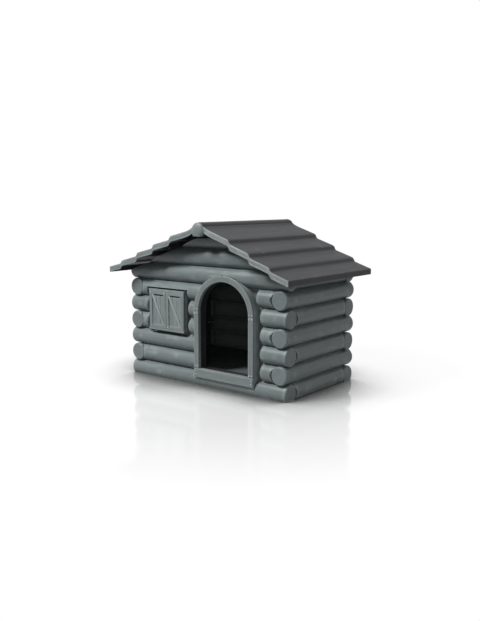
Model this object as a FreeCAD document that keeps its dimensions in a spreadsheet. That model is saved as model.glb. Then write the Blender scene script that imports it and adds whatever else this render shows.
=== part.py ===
import FreeCAD, Part
import math
import os
import re

# Dog kennel built like a log cabin from moulded panels.
# X runs along the front, the front faces -Y, Z is up. The origin lies on the ground,
# in the middle of the rectangle that the wall logs' axes make.

DRIVING_SIZES = {
    # log walls
    "log_pitch": 80.0,
    "log_radius": 41.5,
    "first_axis": 28.0,
    "span_x": 848.0,
    "span_y": 470.0,
    "log_overrun": 38.0,
    "wall_skin": 3.0,
    "disc_round": 8.0,
    "butt_round": 12.0,
    "fit_gap": 0.3,
    "scribe_gap": 1.2,
    "roof_gap": 0.5,
    # roof
    "gable_eave": 105.0,
    "left_eave": 118.0,
    "right_eave": 91.0,
    "ridge_offset": 35.0,
    "ridge_rise": 202.0,
    "ridge_radius": 37.0,
    "ridge_drop": 24.0,
    "ridge_round": 22.0,
    "ridge_overrun": 12.0,
    "first_board": 174.0,
    "board_pitch": 107.0,
    "board_thick": 26.0,
    "board_rim": 5.0,
    "roof_skin": 3.0,
    "left_drop": 29.0,
    "left_fall": 0.39,
    "left_tilt": 0.21,
    "right_drop": 35.0,
    "right_fall": 0.49,
    "right_tilt": 0.30,
    "tab_width": 60.0,
    "tab_depth": 60.0,
    "tab_gap": 1.0,
    # doorway
    "door_centre": 126.0,
    "door_half": 142.0,
    "door_foot": 82.0,
    "door_spring": 345.0,
    "casing_skin": 4.0,
    "casing_tail": 4.0,
    "trim_width": 28.5,
    "trim_face": 50.0,
    "trim_thick": 8.0,
    "trim_round": 2.5,
    "trim_joint": 0.8,
    "sill_foot": 40.0,
    "sill_proud": 2.0,
    "door_log_gap": 24.0,
    # window and shutters
    "window_centre": -219.5,
    "window_width": 225.0,
    "window_foot": 232.0,
    "window_height": 195.0,
    "window_face": 48.0,
    "window_wall": 10.0,
    "window_lip": 15.0,
    "recess_side": 15.0,
    "recess_foot": 16.0,
    "recess_head": 8.0,
    "leaf_thick": 12.0,
    "leaf_relief": 5.0,
    "leaf_gap": 1.0,
    "meeting_gap": 3.0,
    "stile_width": 14.0,
    "brace_width": 12.0,
    "vent_width": 56.0,
    "vent_height": 7.0,
    "pivot_radius": 3.0,
    "pivot_reach": 16.0,
    "pivot_play": 0.05,
    # floor and posts
    "floor_top": 60.0,
    "floor_skin": 3.5,
    "post_leg": 34.0,
    "post_skin": 4.0,
    "post_edge": 12.0,
    "post_short": 18.0,
    # fasteners
    "screw_radius": 2.0,
    "screw_length": 20.0,
    "head_radius": 4.0,
    "head_height": 2.4,
    "boss_radius": 6.0,
    "screw_play": 0.05,
    "screw_inset": 40.0,
    "nail_radius": 1.5,
    "nail_head": 3.4,
    "nail_rise": 1.6,
}

WALL_COURSES = 7
GABLE_COURSES = 2
WINDOW_COURSES = (4, 5)
AXES = "xyz"

doc = FreeCAD.newDocument("kennel")
sheet = doc.addObject("Spreadsheet::Sheet", "sizes")
for row, (word, number) in enumerate(DRIVING_SIZES.items(), start=1):
    sheet.set(f"A{row}", word)
    sheet.set(f"B{row}", str(number))
    sheet.setAlias(f"B{row}", word)
doc.recompute()

# A long alias is matched whole, so each size word in a formula reads its cell.
SIZE_WORD = re.compile(r"\b(" + "|".join(DRIVING_SIZES) + r")\b")
nodes = []


def size(word):
    return float(sheet.get(word))


def tie(thing, prop, formula):
    thing.setExpression(prop, SIZE_WORD.sub(r"sizes.\1", formula))


def finish(thing, label):
    thing.Label = label
    nodes.append(thing)
    return thing


# Basic solids, with their ends given as formulas of the sizes

def block(name, x, y, z):
    solid = doc.addObject("Part::Box", name)
    for prop, axis, (low, high) in zip(("Length", "Width", "Height"), AXES, (x, y, z)):
        tie(solid, prop, f"({high}) - ({low})")
        tie(solid, f"Placement.Base.{axis}", low)
    return solid


def ordered(sign, near, far):
    # the low and high end of a stretch from near to far on one side of the middle
    return (f"{sign} * {near}", f"{sign} * {far}") if sign > 0 else (f"{sign} * {far}", f"{sign} * {near}")


DIRECTIONS = {
    "x": FreeCAD.Vector(1, 0, 0),
    "y": FreeCAD.Vector(0, 1, 0),
    "z": FreeCAD.Vector(0, 0, 1),
}
USUAL_SEAM = {"x": -DIRECTIONS["z"], "y": DIRECTIONS["x"], "z": DIRECTIONS["x"]}


def rod(name, along, span, across, radius, seam=None):
    # across holds the axis line's two other coordinates, in x, y, z order
    # seam is the side on which the round face closes, kept away from cutting planes
    axis_line = DIRECTIONS[along]
    start_line = seam or USUAL_SEAM[along]
    turn = FreeCAD.Rotation(start_line, axis_line.cross(start_line), axis_line, "ZXY")
    solid = doc.addObject("Part::Cylinder", name)
    solid.Placement = FreeCAD.Placement(FreeCAD.Vector(), turn)
    tie(solid, "Radius", radius)
    tie(solid, "Height", f"({span[1]}) - ({span[0]})")
    others = iter(across)
    for axis in AXES:
        tie(solid, f"Placement.Base.{axis}", span[0] if axis == along else next(others))
    return solid


def fuse(name, solids):
    if len(solids) == 1:
        return solids[0]
    joined = doc.addObject("Part::MultiFuse", name)
    joined.Shapes = solids
    joined.Refine = True
    return joined


def cut(name, base, tools):
    result = doc.addObject("Part::Cut", name)
    result.Base = base
    result.Tool = fuse(name + "_tools", tools)
    result.Refine = True
    return result


def soften(name, base, picked, radius):
    # rounds the edges of base that picked accepts
    base.recompute(True)
    soft = doc.addObject("Part::Fillet", name)
    soft.Base = base
    soft.Edges = [
        (number, radius, radius)
        for number, edge in enumerate(base.Shape.Edges, start=1)
        if picked(edge)
    ]
    return soft


def is_ring(edge):
    return edge.Curve.TypeId == "Part::GeomCircle"


def lies_at(y):
    # picks the edges that lie in one upright plane
    return lambda edge: all(math.isclose(end.Y, y, abs_tol=0.01) for end in edge.Vertexes)


def log(name, along, span, across, start_round, end_round, inward):
    core = rod(name + "_core", along, span, across, "log_radius", inward)
    core.recompute()
    rings = [n for n, edge in enumerate(core.Shape.Edges, start=1) if is_ring(edge)]
    soft = doc.addObject("Part::Fillet", name)
    soft.Base = core
    soft.Edges = [(n, r, r) for n, r in zip(rings, (size(start_round), size(end_round)))]
    return soft


# Heights and planes that several pieces share

def course_axis(course):
    return f"(first_axis + {course - 1} * log_pitch)"


def is_odd(course):
    return course % 2 == 1


HALF_X = "(span_x / 2)"
HALF_Y = "(span_y / 2)"
PASS_X = f"({HALF_X} + log_overrun)"
PASS_Y = f"({HALF_Y} + log_overrun)"
SCRIBED_X = f"({HALF_X} - fit_gap)"
SCRIBED_Y = f"({HALF_Y} - fit_gap)"
STUB_X = f"({HALF_X} + wall_skin + 2 * fit_gap)"
STUB_Y = f"({HALF_Y} + wall_skin + 2 * fit_gap)"
WALL_TOP = f"({course_axis(WALL_COURSES + GABLE_COURSES)} + log_radius)"
HALF_DEPTH = f"({HALF_Y} + gable_eave)"
RIDGE_Z = f"({course_axis(WALL_COURSES)} + ridge_rise)"
BEYOND = "(2 * (span_x + span_y))"
GROOVE_RADIUS = "(log_radius - wall_skin)"

# The seat of each roof slope is the line under the inner corners of its steps.
SLOPES = {"left": -1, "right": 1}


def slope_reach(side):
    return f"({HALF_X} - {SLOPES[side]} * ridge_offset + {side}_eave)"


def first_top(side):
    # the upper corner at the foot of the board next to the ridge
    return f"({RIDGE_Z} - {side}_drop)"


def seat_height(side):
    # each board's lower lip reaches back under the board above it, as far as that board's pocket
    tilt = f"{side}_tilt"
    step = f"({side}_fall - {tilt}) * board_pitch + board_thick * sqrt(1 + {tilt} ^ 2)"
    lip = f"(board_rim + {tilt} * ({step}) / (1 + {tilt} ^ 2))"
    return f"({first_top(side)} - ({step}) - ({side}_fall - {tilt}) * {lip})"


def seat_distance(side, height):
    # how far from the ridge the walls' upper edge under a slope is at a height
    return f"(first_board + ({seat_height(side)} - roof_gap - ({height})) / {side}_fall)"


GABLE_RISE = "left_tilt * (first_board - 2 * ridge_radius) - board_thick * sqrt(1 + left_tilt ^ 2)"
GABLE_TOP = f"({first_top('left')} + {GABLE_RISE} - roof_gap)"
everywhere = (f"-{BEYOND}", BEYOND)

# The space under the roof and above the ground, which every wall panel is cut to
under_roof = doc.addObject("Part::Wedge", "under_roof")
under_roof.Placement = FreeCAD.Placement(FreeCAD.Vector(), FreeCAD.Rotation(FreeCAD.Vector(1, 0, 0), 90))
for level, (low, high), height in (("Ymin", ("Xmin", "Xmax"), "0"), ("Ymax", ("X2min", "X2max"), GABLE_TOP)):
    tie(under_roof, level, height)
    tie(under_roof, low, f"ridge_offset - {seat_distance('left', height)}")
    tie(under_roof, high, f"ridge_offset + {seat_distance('right', height)}")
for low, high in (("Zmin", "Zmax"), ("Z2min", "Z2max")):
    tie(under_roof, low, everywhere[0])
    tie(under_roof, high, everywhere[1])


def trimmed(name, panel):
    kept = doc.addObject("Part::Common", name + "_trimmed")
    kept.Base = panel
    kept.Tool = under_roof
    kept.Refine = True
    return kept


# Screws and nails: where each one sits, which way it points and what it holds

def turned(along, sign):
    # turns a fastener made along +Z so that it points along an axis
    return FreeCAD.Rotation(DIRECTIONS["z"], DIRECTIONS[along] * sign)


def place(solid, along, sign, point):
    solid.Placement = FreeCAD.Placement(FreeCAD.Vector(), turned(along, sign))
    for axis, formula in zip(AXES, point):
        tie(solid, f"Placement.Base.{axis}", formula)


def shifted(point, along, sign, distance):
    moved = list(point)
    spot = AXES.index(along)
    moved[spot] = f"({moved[spot]}) + ({sign}) * ({distance})"
    return moved


def pointed_rod(name, along, sign, point, length, radius):
    solid = doc.addObject("Part::Cylinder", name)
    place(solid, along, sign, point)
    tie(solid, "Radius", radius)
    tie(solid, "Height", length)
    return solid


def screw(name, along, sign, point):
    # point is the middle of the head's seat, and the shank runs on along sign
    shank = pointed_rod(name + "_shank", along, sign, point, "screw_length", "screw_radius")
    head = pointed_rod(name + "_head", along, -sign, point, "head_height", "head_radius")
    return fuse(name, [shank, head])


def screw_hole(name, along, sign, point):
    start = shifted(point, along, sign, "-head_height")
    length = "screw_length + head_height + fit_gap"
    return pointed_rod(name, along, sign, start, length, "screw_radius + screw_play")


def fastener_set(label, kind, seats):
    return finish(fuse(label, [kind(f"{label}_{n}", *seat) for n, seat in enumerate(seats, start=1)]), label)


def hole_set(name, kind, seats):
    return [kind(f"{name}_{n}", *seat) for n, seat in enumerate(seats, start=1)]


POST_INSET = "(post_leg - post_edge)"


def post_seats(x_sign, y_sign):
    inner_x = f"{x_sign} * ({HALF_X} - fit_gap - post_skin)"
    inner_y = f"{y_sign} * ({HALF_Y} - fit_gap - post_skin)"
    leg_x = f"{x_sign} * ({HALF_X} - {POST_INSET})"
    leg_y = f"{y_sign} * ({HALF_Y} - {POST_INSET})"
    seats = [("y", y_sign, (leg_x, inner_y, course_axis(course))) for course in (3, 5)]
    seats += [("x", x_sign, (inner_x, leg_y, course_axis(course))) for course in (2, 4, 6)]
    return seats


CORNERS = {
    "front_left": (-1, -1),
    "front_right": (1, -1),
    "rear_left": (-1, 1),
    "rear_right": (1, 1),
}
all_post_seats = [seat for signs in CORNERS.values() for seat in post_seats(*signs)]

SKIRT_X = f"({HALF_X} - fit_gap - floor_skin)"
SKIRT_Y = f"({HALF_Y} - fit_gap - floor_skin)"
floor_seats = []
for sign in (-1, 1):
    for share in ("-span_x / 3", "0", "span_x / 3"):
        floor_seats.append(("y", sign, (share, f"{sign} * {SKIRT_Y}", course_axis(1))))
    for share in ("-span_y / 4", "span_y / 4"):
        floor_seats.append(("x", sign, (f"{sign} * {SKIRT_X}", share, course_axis(1))))


def wall_seats(along, sign):
    return [seat for seat in all_post_seats + floor_seats if seat[0] == along and seat[1] == sign]


def wall_boss(name, along, sign, point):
    # a boss from the panel's inner plane to the inside of its log
    plane = HALF_X if along == "x" else HALF_Y
    start = list(point)
    start[AXES.index(along)] = f"{sign} * {plane}"
    return pointed_rod(name, along, sign, start, "log_radius - wall_skin / 2", "boss_radius")


# Log walls. A panel is a row of half-round logs with a thin skin, hollow towards the inside.
# Odd courses of the front and rear run past the corner, even courses of the sides do.
# Past the corner a log is full round, and a cap closes the half that faces the other wall.
# A log that stops at the corner is scribed, so its end follows the curve of the log that runs past it.

END_ROUNDS = {"disc": "disc_round", "butt": "butt_round", "scribed": "fit_gap"}
# how far the hollow stops short of each kind of end
END_STOPS = {
    "disc": "max(wall_skin; disc_round)",
    "butt": "max(wall_skin; butt_round)",
    "scribed": "(log_radius + scribe_gap + wall_skin)",
}


def arch(name, half, foot, y):
    # a doorway outline: upright sides up to the spring line, then a half circle
    x = (f"door_centre - ({half})", f"door_centre + ({half})")
    upright = block(name + "_upright", x, y, (foot, "door_spring"))
    crown = rod(name + "_crown", "y", y, ("door_centre", "door_spring"), half)
    return fuse(name, [upright, crown])


CASING_HALF = "(door_half + trim_width)"
WINDOW_LOW = "(window_centre - window_width / 2)"
WINDOW_HIGH = "(window_centre + window_width / 2)"
WINDOW_HEAD = "(window_foot + window_height)"


def door_side(course):
    # distance from the door's middle to the casing at a course's axis
    above = f"max(0; {course_axis(course)} - door_spring)"
    return f"sqrt({CASING_HALF} ^ 2 - ({above}) ^ 2)"


def front_runs(course):
    # the stretches of one front course: start, end and the kind of each end
    reach, end = (PASS_X, "disc") if is_odd(course) else (SCRIBED_X, "scribed")
    if course == 1 or course >= WALL_COURSES:
        return [(f"-{reach}", reach, end, end)]
    short = f"door_centre + {door_side(course)} + door_log_gap"
    runs = [(short, reach, "butt", end)]
    if course in WINDOW_COURSES:
        runs.append((f"-{reach}", f"{WINDOW_LOW} - recess_side", end, "butt"))
        runs.append((f"{WINDOW_HIGH} + recess_side", "door_centre", "butt", "disc"))
    else:
        runs.append((f"-{reach}", "door_centre", end, "disc"))
    return runs


def plain_runs(course):
    reach, end = (PASS_X, "disc") if is_odd(course) else (SCRIBED_X, "scribed")
    return [(f"-{reach}", reach, end, end)]


def gable_wall(label, sign, runs_of, recesses, keeps, openings):
    axis = f"{sign} * {HALF_Y}"
    inward = DIRECTIONS["y"] * -sign
    sheet_y = ordered(sign, HALF_Y, f"({HALF_Y} + wall_skin)")
    inside_y = ordered(sign, "0", HALF_Y)
    web = block(label + "_web", (f"-{HALF_X} + fit_gap", f"{HALF_X} - fit_gap"), sheet_y, ("0", WALL_TOP))
    outside_y = ordered(sign, f"({HALF_Y} + wall_skin)", BEYOND)
    logs = []
    grooves = []
    saddles = []
    for course in range(1, WALL_COURSES + GABLE_COURSES + 1):
        for n, (start, end, start_kind, end_kind) in enumerate(runs_of(course), start=1):
            name = f"{label}_log_{course}_{n}"
            across = (axis, course_axis(course))
            logs.append(log(name, "x", (start, end), across, END_ROUNDS[start_kind], END_ROUNDS[end_kind], inward))
            hollow = (f"{start} + {END_STOPS[start_kind]}", f"{end} - {END_STOPS[end_kind]}")
            grooves.append(rod(name + "_groove", "x", hollow, across, GROOVE_RADIUS, inward))
        if not is_odd(course):
            for row in (-1, 1):
                crossing = (f"{row} * {HALF_X}", course_axis(course))
                name = f"{label}_saddle_{course}_{row + 2}"
                saddles.append(rod(name, "y", outside_y, crossing, "log_radius + scribe_gap"))
    shell = fuse(label + "_logs", logs)
    if recesses:
        shell = cut(label + "_recessed", shell, recesses)
    caps = [block(f"{label}_cap_{end + 2}", ordered(end, STUB_X, f"({STUB_X} + wall_skin)"), inside_y, everywhere)
            for end in (-1, 1)]
    hollows = cut(label + "_hollows", fuse(label + "_grooves", grooves), keeps + caps)
    inside = block(label + "_inside", (f"-{STUB_X}", STUB_X), inside_y, everywhere)
    panel = cut(label + "_panel", fuse(label + "_body", [shell, web]), [hollows, inside])
    bosses = [wall_boss(f"{label}_boss_{n}", *seat) for n, seat in enumerate(wall_seats("y", sign), start=1)]
    holes = hole_set(label + "_hole", screw_hole, wall_seats("y", sign))
    bossed = trimmed(label, fuse(label + "_bossed", [panel] + bosses))
    finish(cut(label, bossed, saddles + openings + holes), label)


def side_wall(label, sign):
    axis = f"{sign} * {HALF_X}"
    inward = DIRECTIONS["x"] * -sign
    sheet_x = ordered(sign, HALF_X, f"({HALF_X} + wall_skin)")
    inside_x = ordered(sign, "0", HALF_X)
    web = block(label + "_web", sheet_x, (f"-{HALF_Y} + fit_gap", f"{HALF_Y} - fit_gap"), ("0", WALL_TOP))
    logs = []
    grooves = []
    saddles = []
    for course in range(1, WALL_COURSES + 1):
        name = f"{label}_log_{course}"
        reach, end = (SCRIBED_Y, "scribed") if is_odd(course) else (PASS_Y, "disc")
        across = (axis, course_axis(course))
        logs.append(log(name, "y", (f"-{reach}", reach), across, END_ROUNDS[end], END_ROUNDS[end], inward))
        inner_end = f"({reach} - {END_STOPS[end]})"
        hollow = (f"-{inner_end}", inner_end)
        grooves.append(rod(name + "_groove", "y", hollow, across, GROOVE_RADIUS, inward))
        if is_odd(course):
            for row in (-1, 1):
                crossing = (f"{row} * {HALF_Y}", course_axis(course))
                saddle = rod(f"{name}_saddle_{row + 2}", "x", everywhere, crossing, "log_radius + scribe_gap")
                saddles.append(saddle)
    caps = [block(f"{label}_cap_{end + 2}", inside_x, ordered(end, STUB_Y, f"({STUB_Y} + wall_skin)"), everywhere)
            for end in (-1, 1)]
    hollows = cut(label + "_hollows", fuse(label + "_grooves", grooves), caps)
    inside = block(label + "_inside", inside_x, (f"-{STUB_Y}", STUB_Y), everywhere)
    body = fuse(label + "_body", logs + [web])
    panel = cut(label + "_panel", body, [hollows, inside])
    bosses = [wall_boss(f"{label}_boss_{n}", *seat) for n, seat in enumerate(wall_seats("x", sign), start=1)]
    holes = hole_set(label + "_hole", screw_hole, wall_seats("x", sign))
    bossed = trimmed(label, fuse(label + "_bossed", [panel] + bosses))
    finish(cut(label, bossed, saddles + holes), label)


# Doorway: a deep channel-shaped casing, with trim boards nailed to its face

FACE_Y = f"-({HALF_Y} + trim_face)"
BACK_Y = f"({FACE_Y} + trim_thick)"
SHEET_Y = f"-({HALF_Y} + wall_skin)"
through_y = (f"-{BEYOND}", "0")
casing_seats = []
MID_TRIM = "(door_half + trim_width / 2)"
for side in (-1, 1):
    for height in ("door_foot + screw_inset", "door_spring - screw_inset"):
        spot = (f"door_centre + {side} * {MID_TRIM}", f"-{HALF_Y} + fit_gap", height)
        casing_seats.append(("y", -1, spot))
    slant = f"{MID_TRIM} * sqrt(0.5)"
    spot = (f"door_centre + {side} * {slant}", f"-{HALF_Y} + fit_gap", f"door_spring + {slant}")
    casing_seats.append(("y", -1, spot))

NAIL_LINE = "(trim_width / 4)"
TRIM_GRIP = "(trim_thick + casing_skin)"
SILL_GRIP = f"({TRIM_GRIP} + sill_proud)"
nail_seats = []
for side in (-1, 1):
    for offset in (-1, 1):
        x = f"door_centre + {side} * {MID_TRIM} + {offset} * {NAIL_LINE}"
        for height in ("door_foot + trim_width / 3", "door_spring - trim_width / 3"):
            nail_seats.append(("y", 1, (x, FACE_Y, height), TRIM_GRIP))
        radius = f"({MID_TRIM} + {side * offset} * {NAIL_LINE})"
        lift = "trim_width / 3"
        over = f"sqrt({radius} ^ 2 - ({lift}) ^ 2)"
        spot = (f"door_centre + {side} * {over}", FACE_Y, f"door_spring + {lift}")
        nail_seats.append(("y", 1, spot, TRIM_GRIP))
        height = f"(sill_foot + door_foot) / 2 + {offset} * {NAIL_LINE}"
        end = f"door_centre + {side} * ({CASING_HALF} - trim_width / 3)"
        nail_seats.append(("y", 1, (end, f"{FACE_Y} - sill_proud", height), SILL_GRIP))


def nail(name, along, sign, point, grip):
    shank = pointed_rod(name + "_shank", along, sign, point, grip, "nail_radius")
    dome = doc.addObject("Part::Cone", name + "_dome")
    place(dome, along, -sign, point)
    tie(dome, "Radius1", "nail_head")
    tie(dome, "Radius2", "nail_head - nail_rise")
    tie(dome, "Height", "nail_rise")
    return fuse(name, [shank, dome])


def nail_hole(name, along, sign, point, grip):
    start = shifted(point, along, sign, "-fit_gap")
    return pointed_rod(name, along, sign, start, f"{grip} + 2 * fit_gap", "nail_radius + screw_play")


def door_pieces():
    nail_holes = hole_set("nail_hole", nail_hole, nail_seats)
    screw_holes = hole_set("casing_hole", screw_hole, casing_seats)
    opening = arch("door_opening", "door_half", "door_foot", (f"-{BEYOND}", "0"))
    outside = arch("casing_outside", CASING_HALF, "sill_foot", (BACK_Y, SHEET_Y))
    channel = arch("casing_channel", f"{CASING_HALF} - casing_skin", "sill_foot + casing_skin",
                   (f"{BACK_Y} + casing_skin", SHEET_Y))
    lining = arch("casing_lining", "door_half + casing_skin", "door_foot - casing_skin",
                  (BACK_Y, f"-{HALF_Y} + casing_tail"))
    bosses = []
    for n, (along, sign, point) in enumerate(casing_seats, start=1):
        start = (point[0], SHEET_Y, point[2])
        depth = "trim_face - trim_thick - wall_skin - casing_skin / 2"
        bosses.append(pointed_rod(f"casing_boss_{n}", along, sign, start, depth, "boss_radius"))
    ring = cut("casing_ring", outside, [channel])
    body = fuse("casing_body", [ring, lining] + bosses)
    finish(cut("door_casing", body, [opening] + screw_holes + nail_holes), "door_casing")

    board_y = (FACE_Y, BACK_Y)
    ring_out = rod("arch_outer", "y", board_y, ("door_centre", "door_spring"), CASING_HALF)
    ring_in = rod("arch_inner", "y", everywhere, ("door_centre", "door_spring"), "door_half")
    under = block("under_arch", everywhere, everywhere, (f"-{BEYOND}", "door_spring + trim_joint / 2"))
    ring = cut("arch_board", ring_out, [ring_in, under])
    front = -(size("span_y") / 2 + size("trim_face"))
    arch_soft = soften("arch_soft", ring, lies_at(front), size("trim_round"))
    finish(cut("door_arch", arch_soft, nail_holes), "door_arch")
    for label, side in (("door_jamb_left", -1), ("door_jamb_right", 1)):
        inner = f"door_centre + {side} * door_half"
        outer = f"door_centre + {side} * {CASING_HALF}"
        x = (outer, inner) if side < 0 else (inner, outer)
        board = block(label + "_board", x, board_y, ("door_foot + trim_joint / 2", "door_spring - trim_joint / 2"))
        soft = soften(label + "_soft", board, lies_at(front), size("trim_round"))
        finish(cut(label, soft, nail_holes), label)
    sill = block("sill_board", (f"door_centre - {CASING_HALF}", f"door_centre + {CASING_HALF}"),
                 (f"{FACE_Y} - sill_proud", BACK_Y), ("sill_foot", "door_foot - trim_joint / 2"))
    soft = soften("sill_soft", sill, lies_at(front - size("sill_proud")), 2 * size("trim_round"))
    finish(cut("door_sill", soft, nail_holes), "door_sill")
    fastener_set("trim_nails", nail, nail_seats)
    fastener_set("casing_screws", screw, casing_seats)
    return screw_holes


# Window: a box in the recess, with two shutters on pivot pins

WINDOW_Y = f"-({HALF_Y} + window_face)"
LEAF_BACK = f"({WINDOW_Y} + leaf_thick)"
PIVOT_Y = f"({WINDOW_Y} + leaf_thick / 2)"
LEAF_LOW = "(window_foot + window_wall + leaf_gap)"
LEAF_TOP = f"({WINDOW_HEAD} - window_wall - leaf_gap)"
PIVOT_INSET = "(leaf_thick / 2 + leaf_gap / 2)"
window_seats = []
for side in (-1, 1):
    x = f"window_centre + {side} * (window_width - window_wall) / 2"
    for height in ("window_foot + screw_inset", f"{WINDOW_HEAD} - screw_inset"):
        window_seats.append(("y", -1, (x, f"-{HALF_Y} + fit_gap", height)))


def pivot_pins(name, side, radius):
    x = f"window_centre + {side} * (window_width / 2 - {PIVOT_INSET})"
    low = rod(f"{name}_low", "z", ("window_foot", f"{LEAF_LOW} + pivot_reach"), (x, PIVOT_Y), radius)
    high = rod(f"{name}_high", "z", (f"{LEAF_TOP} - pivot_reach", WINDOW_HEAD), (x, PIVOT_Y), radius)
    return [low, high]


def shutter(label, side):
    outer = f"window_centre + {side} * (window_width / 2 - {PIVOT_INSET})"
    inner = f"window_centre + {side} * meeting_gap / 2"
    x = (outer, inner) if side < 0 else (inner, outer)
    face_y = (WINDOW_Y, f"{WINDOW_Y} + leaf_relief")
    edge = rod(label + "_edge", "z", (LEAF_LOW, LEAF_TOP), (outer, PIVOT_Y), "leaf_thick / 2")
    board = block(label + "_board", x, (WINDOW_Y, LEAF_BACK), (LEAF_LOW, LEAF_TOP))
    leaf = fuse(label + "_leaf", [edge, board])
    field_x = (f"{x[0]} + stile_width", f"{x[1]} - stile_width")
    field_z = (f"{LEAF_LOW} + stile_width", f"{LEAF_TOP} - stile_width")
    field = block(label + "_field", field_x, face_y, field_z)
    wide = f"(({field_x[1]}) - ({field_x[0]}))"
    tall = f"(({field_z[1]}) - ({field_z[0]}))"
    # the brace runs from the upper left to the lower right corner of the field
    brace = doc.addObject("Part::Box", label + "_brace")
    brace.Placement = FreeCAD.Placement(FreeCAD.Vector(), FreeCAD.Rotation(FreeCAD.Vector(0, 1, 0), 45))
    tie(brace, "Placement.Rotation.Angle", f"atan({tall} / {wide})")
    tie(brace, "Length", f"sqrt({wide} ^ 2 + {tall} ^ 2)")
    tie(brace, "Width", "2 * leaf_relief")
    tie(brace, "Height", "brace_width")
    slant = f"sqrt({wide} ^ 2 + {tall} ^ 2)"
    tie(brace, "Placement.Base.x", f"{field_x[0]} - brace_width / 2 * {tall} / {slant}")
    tie(brace, "Placement.Base.y", f"{WINDOW_Y} - leaf_relief / 2")
    tie(brace, "Placement.Base.z", f"{field_z[1]} - brace_width / 2 * {wide} / {slant}")
    sunk = cut(label + "_sunk", field, [brace])
    middle = f"({field_x[0]} + {field_x[1]}) / 2"
    vent_x = (f"{middle} - vent_width / 2", f"{middle} + vent_width / 2")
    vent_z = (f"{field_z[1]} - vent_height", field_z[1])
    vent = block(label + "_vent", vent_x, (f"{WINDOW_Y} - leaf_gap", f"{LEAF_BACK} + leaf_gap"), vent_z)
    seams = []
    for share in (1, 2):
        line = f"{field_x[0]} + {wide} * {share} / 3"
        seam_y = (WINDOW_Y, f"{WINDOW_Y} + leaf_relief + leaf_gap")
        seam_x = (f"{line} - leaf_gap / 2", f"{line} + leaf_gap / 2")
        seams.append(block(f"{label}_seam_{share}", seam_x, seam_y, field_z))
    seam_cut = cut(label + "_seams", fuse(label + "_seam_pair", seams), [brace])
    bores = pivot_pins(label + "_bore", side, "pivot_radius + pivot_play")
    finish(cut(label, leaf, [sunk, vent, seam_cut] + bores), label)


def window_pieces():
    screw_holes = hole_set("window_hole", screw_hole, window_seats)
    pins = [pin for side in (-1, 1) for pin in pivot_pins(f"pin_{side + 2}", side, "pivot_radius")]
    pin_holes = []
    for side in (-1, 1):
        pin_holes += pivot_pins(f"pin_hole_{side + 2}", side, "pivot_radius + pivot_play / 2")
    x = (WINDOW_LOW, WINDOW_HIGH)
    z = ("window_foot", WINDOW_HEAD)
    body = block("window_body", x, (WINDOW_Y, SHEET_Y), z)
    inner_x = (f"{WINDOW_LOW} + window_wall", f"{WINDOW_HIGH} - window_wall")
    inner_z = ("window_foot + window_wall", f"{WINDOW_HEAD} - window_wall")
    hollow = block("window_hollow", inner_x, through_y, inner_z)
    leaf_space = block("leaf_space", everywhere, (f"-{BEYOND}", f"{LEAF_BACK} + leaf_gap"), inner_z)
    finish(cut("window_box", body, [hollow, leaf_space] + screw_holes + pin_holes), "window_box")
    for label, side in (("shutter_left", -1), ("shutter_right", 1)):
        shutter(label, side)
    finish(fuse("shutter_pins", pins), "shutter_pins")
    fastener_set("window_screws", screw, window_seats)
    return screw_holes


# Roof: two slopes of stepped boards, hollow below, and a ridge log between them

def slope_slab(name, side, top, span, depth, y):
    # a tilted block: top is (distance from the ridge, height) of a point of the board's upper face,
    # span the distances from the ridge, depth the two levels below that face
    sign = SLOPES[side]
    tilt = f"{side}_tilt"
    secant = f"sqrt(1 + {tilt} ^ 2)"
    solid = doc.addObject("Part::Box", name)
    solid.Placement = FreeCAD.Placement(FreeCAD.Vector(), FreeCAD.Rotation(FreeCAD.Vector(0, 1, 0), sign))
    tie(solid, "Placement.Rotation.Angle", f"{sign} * atan({tilt})")
    tie(solid, "Length", f"(({span[1]}) - ({span[0]})) * {secant}")
    tie(solid, "Width", f"({y[1]}) - ({y[0]})")
    tie(solid, "Height", f"({depth[1]}) - ({depth[0]})")
    start = span[0] if sign > 0 else span[1]
    low = f"(-({depth[1]}))"
    tie(solid, "Placement.Base.x", f"ridge_offset + {sign} * ({start} + {low} * {tilt} / {secant})")
    tie(solid, "Placement.Base.y", y[0])
    tie(solid, "Placement.Base.z", f"{top[1]} + {tilt} * ({top[0]} - ({start})) + {low} / {secant}")
    return solid


RIDGE_SEAT = "(ridge_radius + 2 * board_rim)"
RIDGE_SCREW_Z = f"({RIDGE_Z} - 2 * ridge_drop / 3)"
RIDGE_SCREW_ROWS = [f"({quarter} * {HALF_DEPTH} / 4)" for quarter in (-3, -1, 1, 3)]
ridge_seats = []
for side, sign in SLOPES.items():
    for row in RIDGE_SCREW_ROWS:
        ridge_seats.append(("x", -sign, (f"ridge_offset + {sign} * {RIDGE_SEAT}", row, RIDGE_SCREW_Z)))


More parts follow.
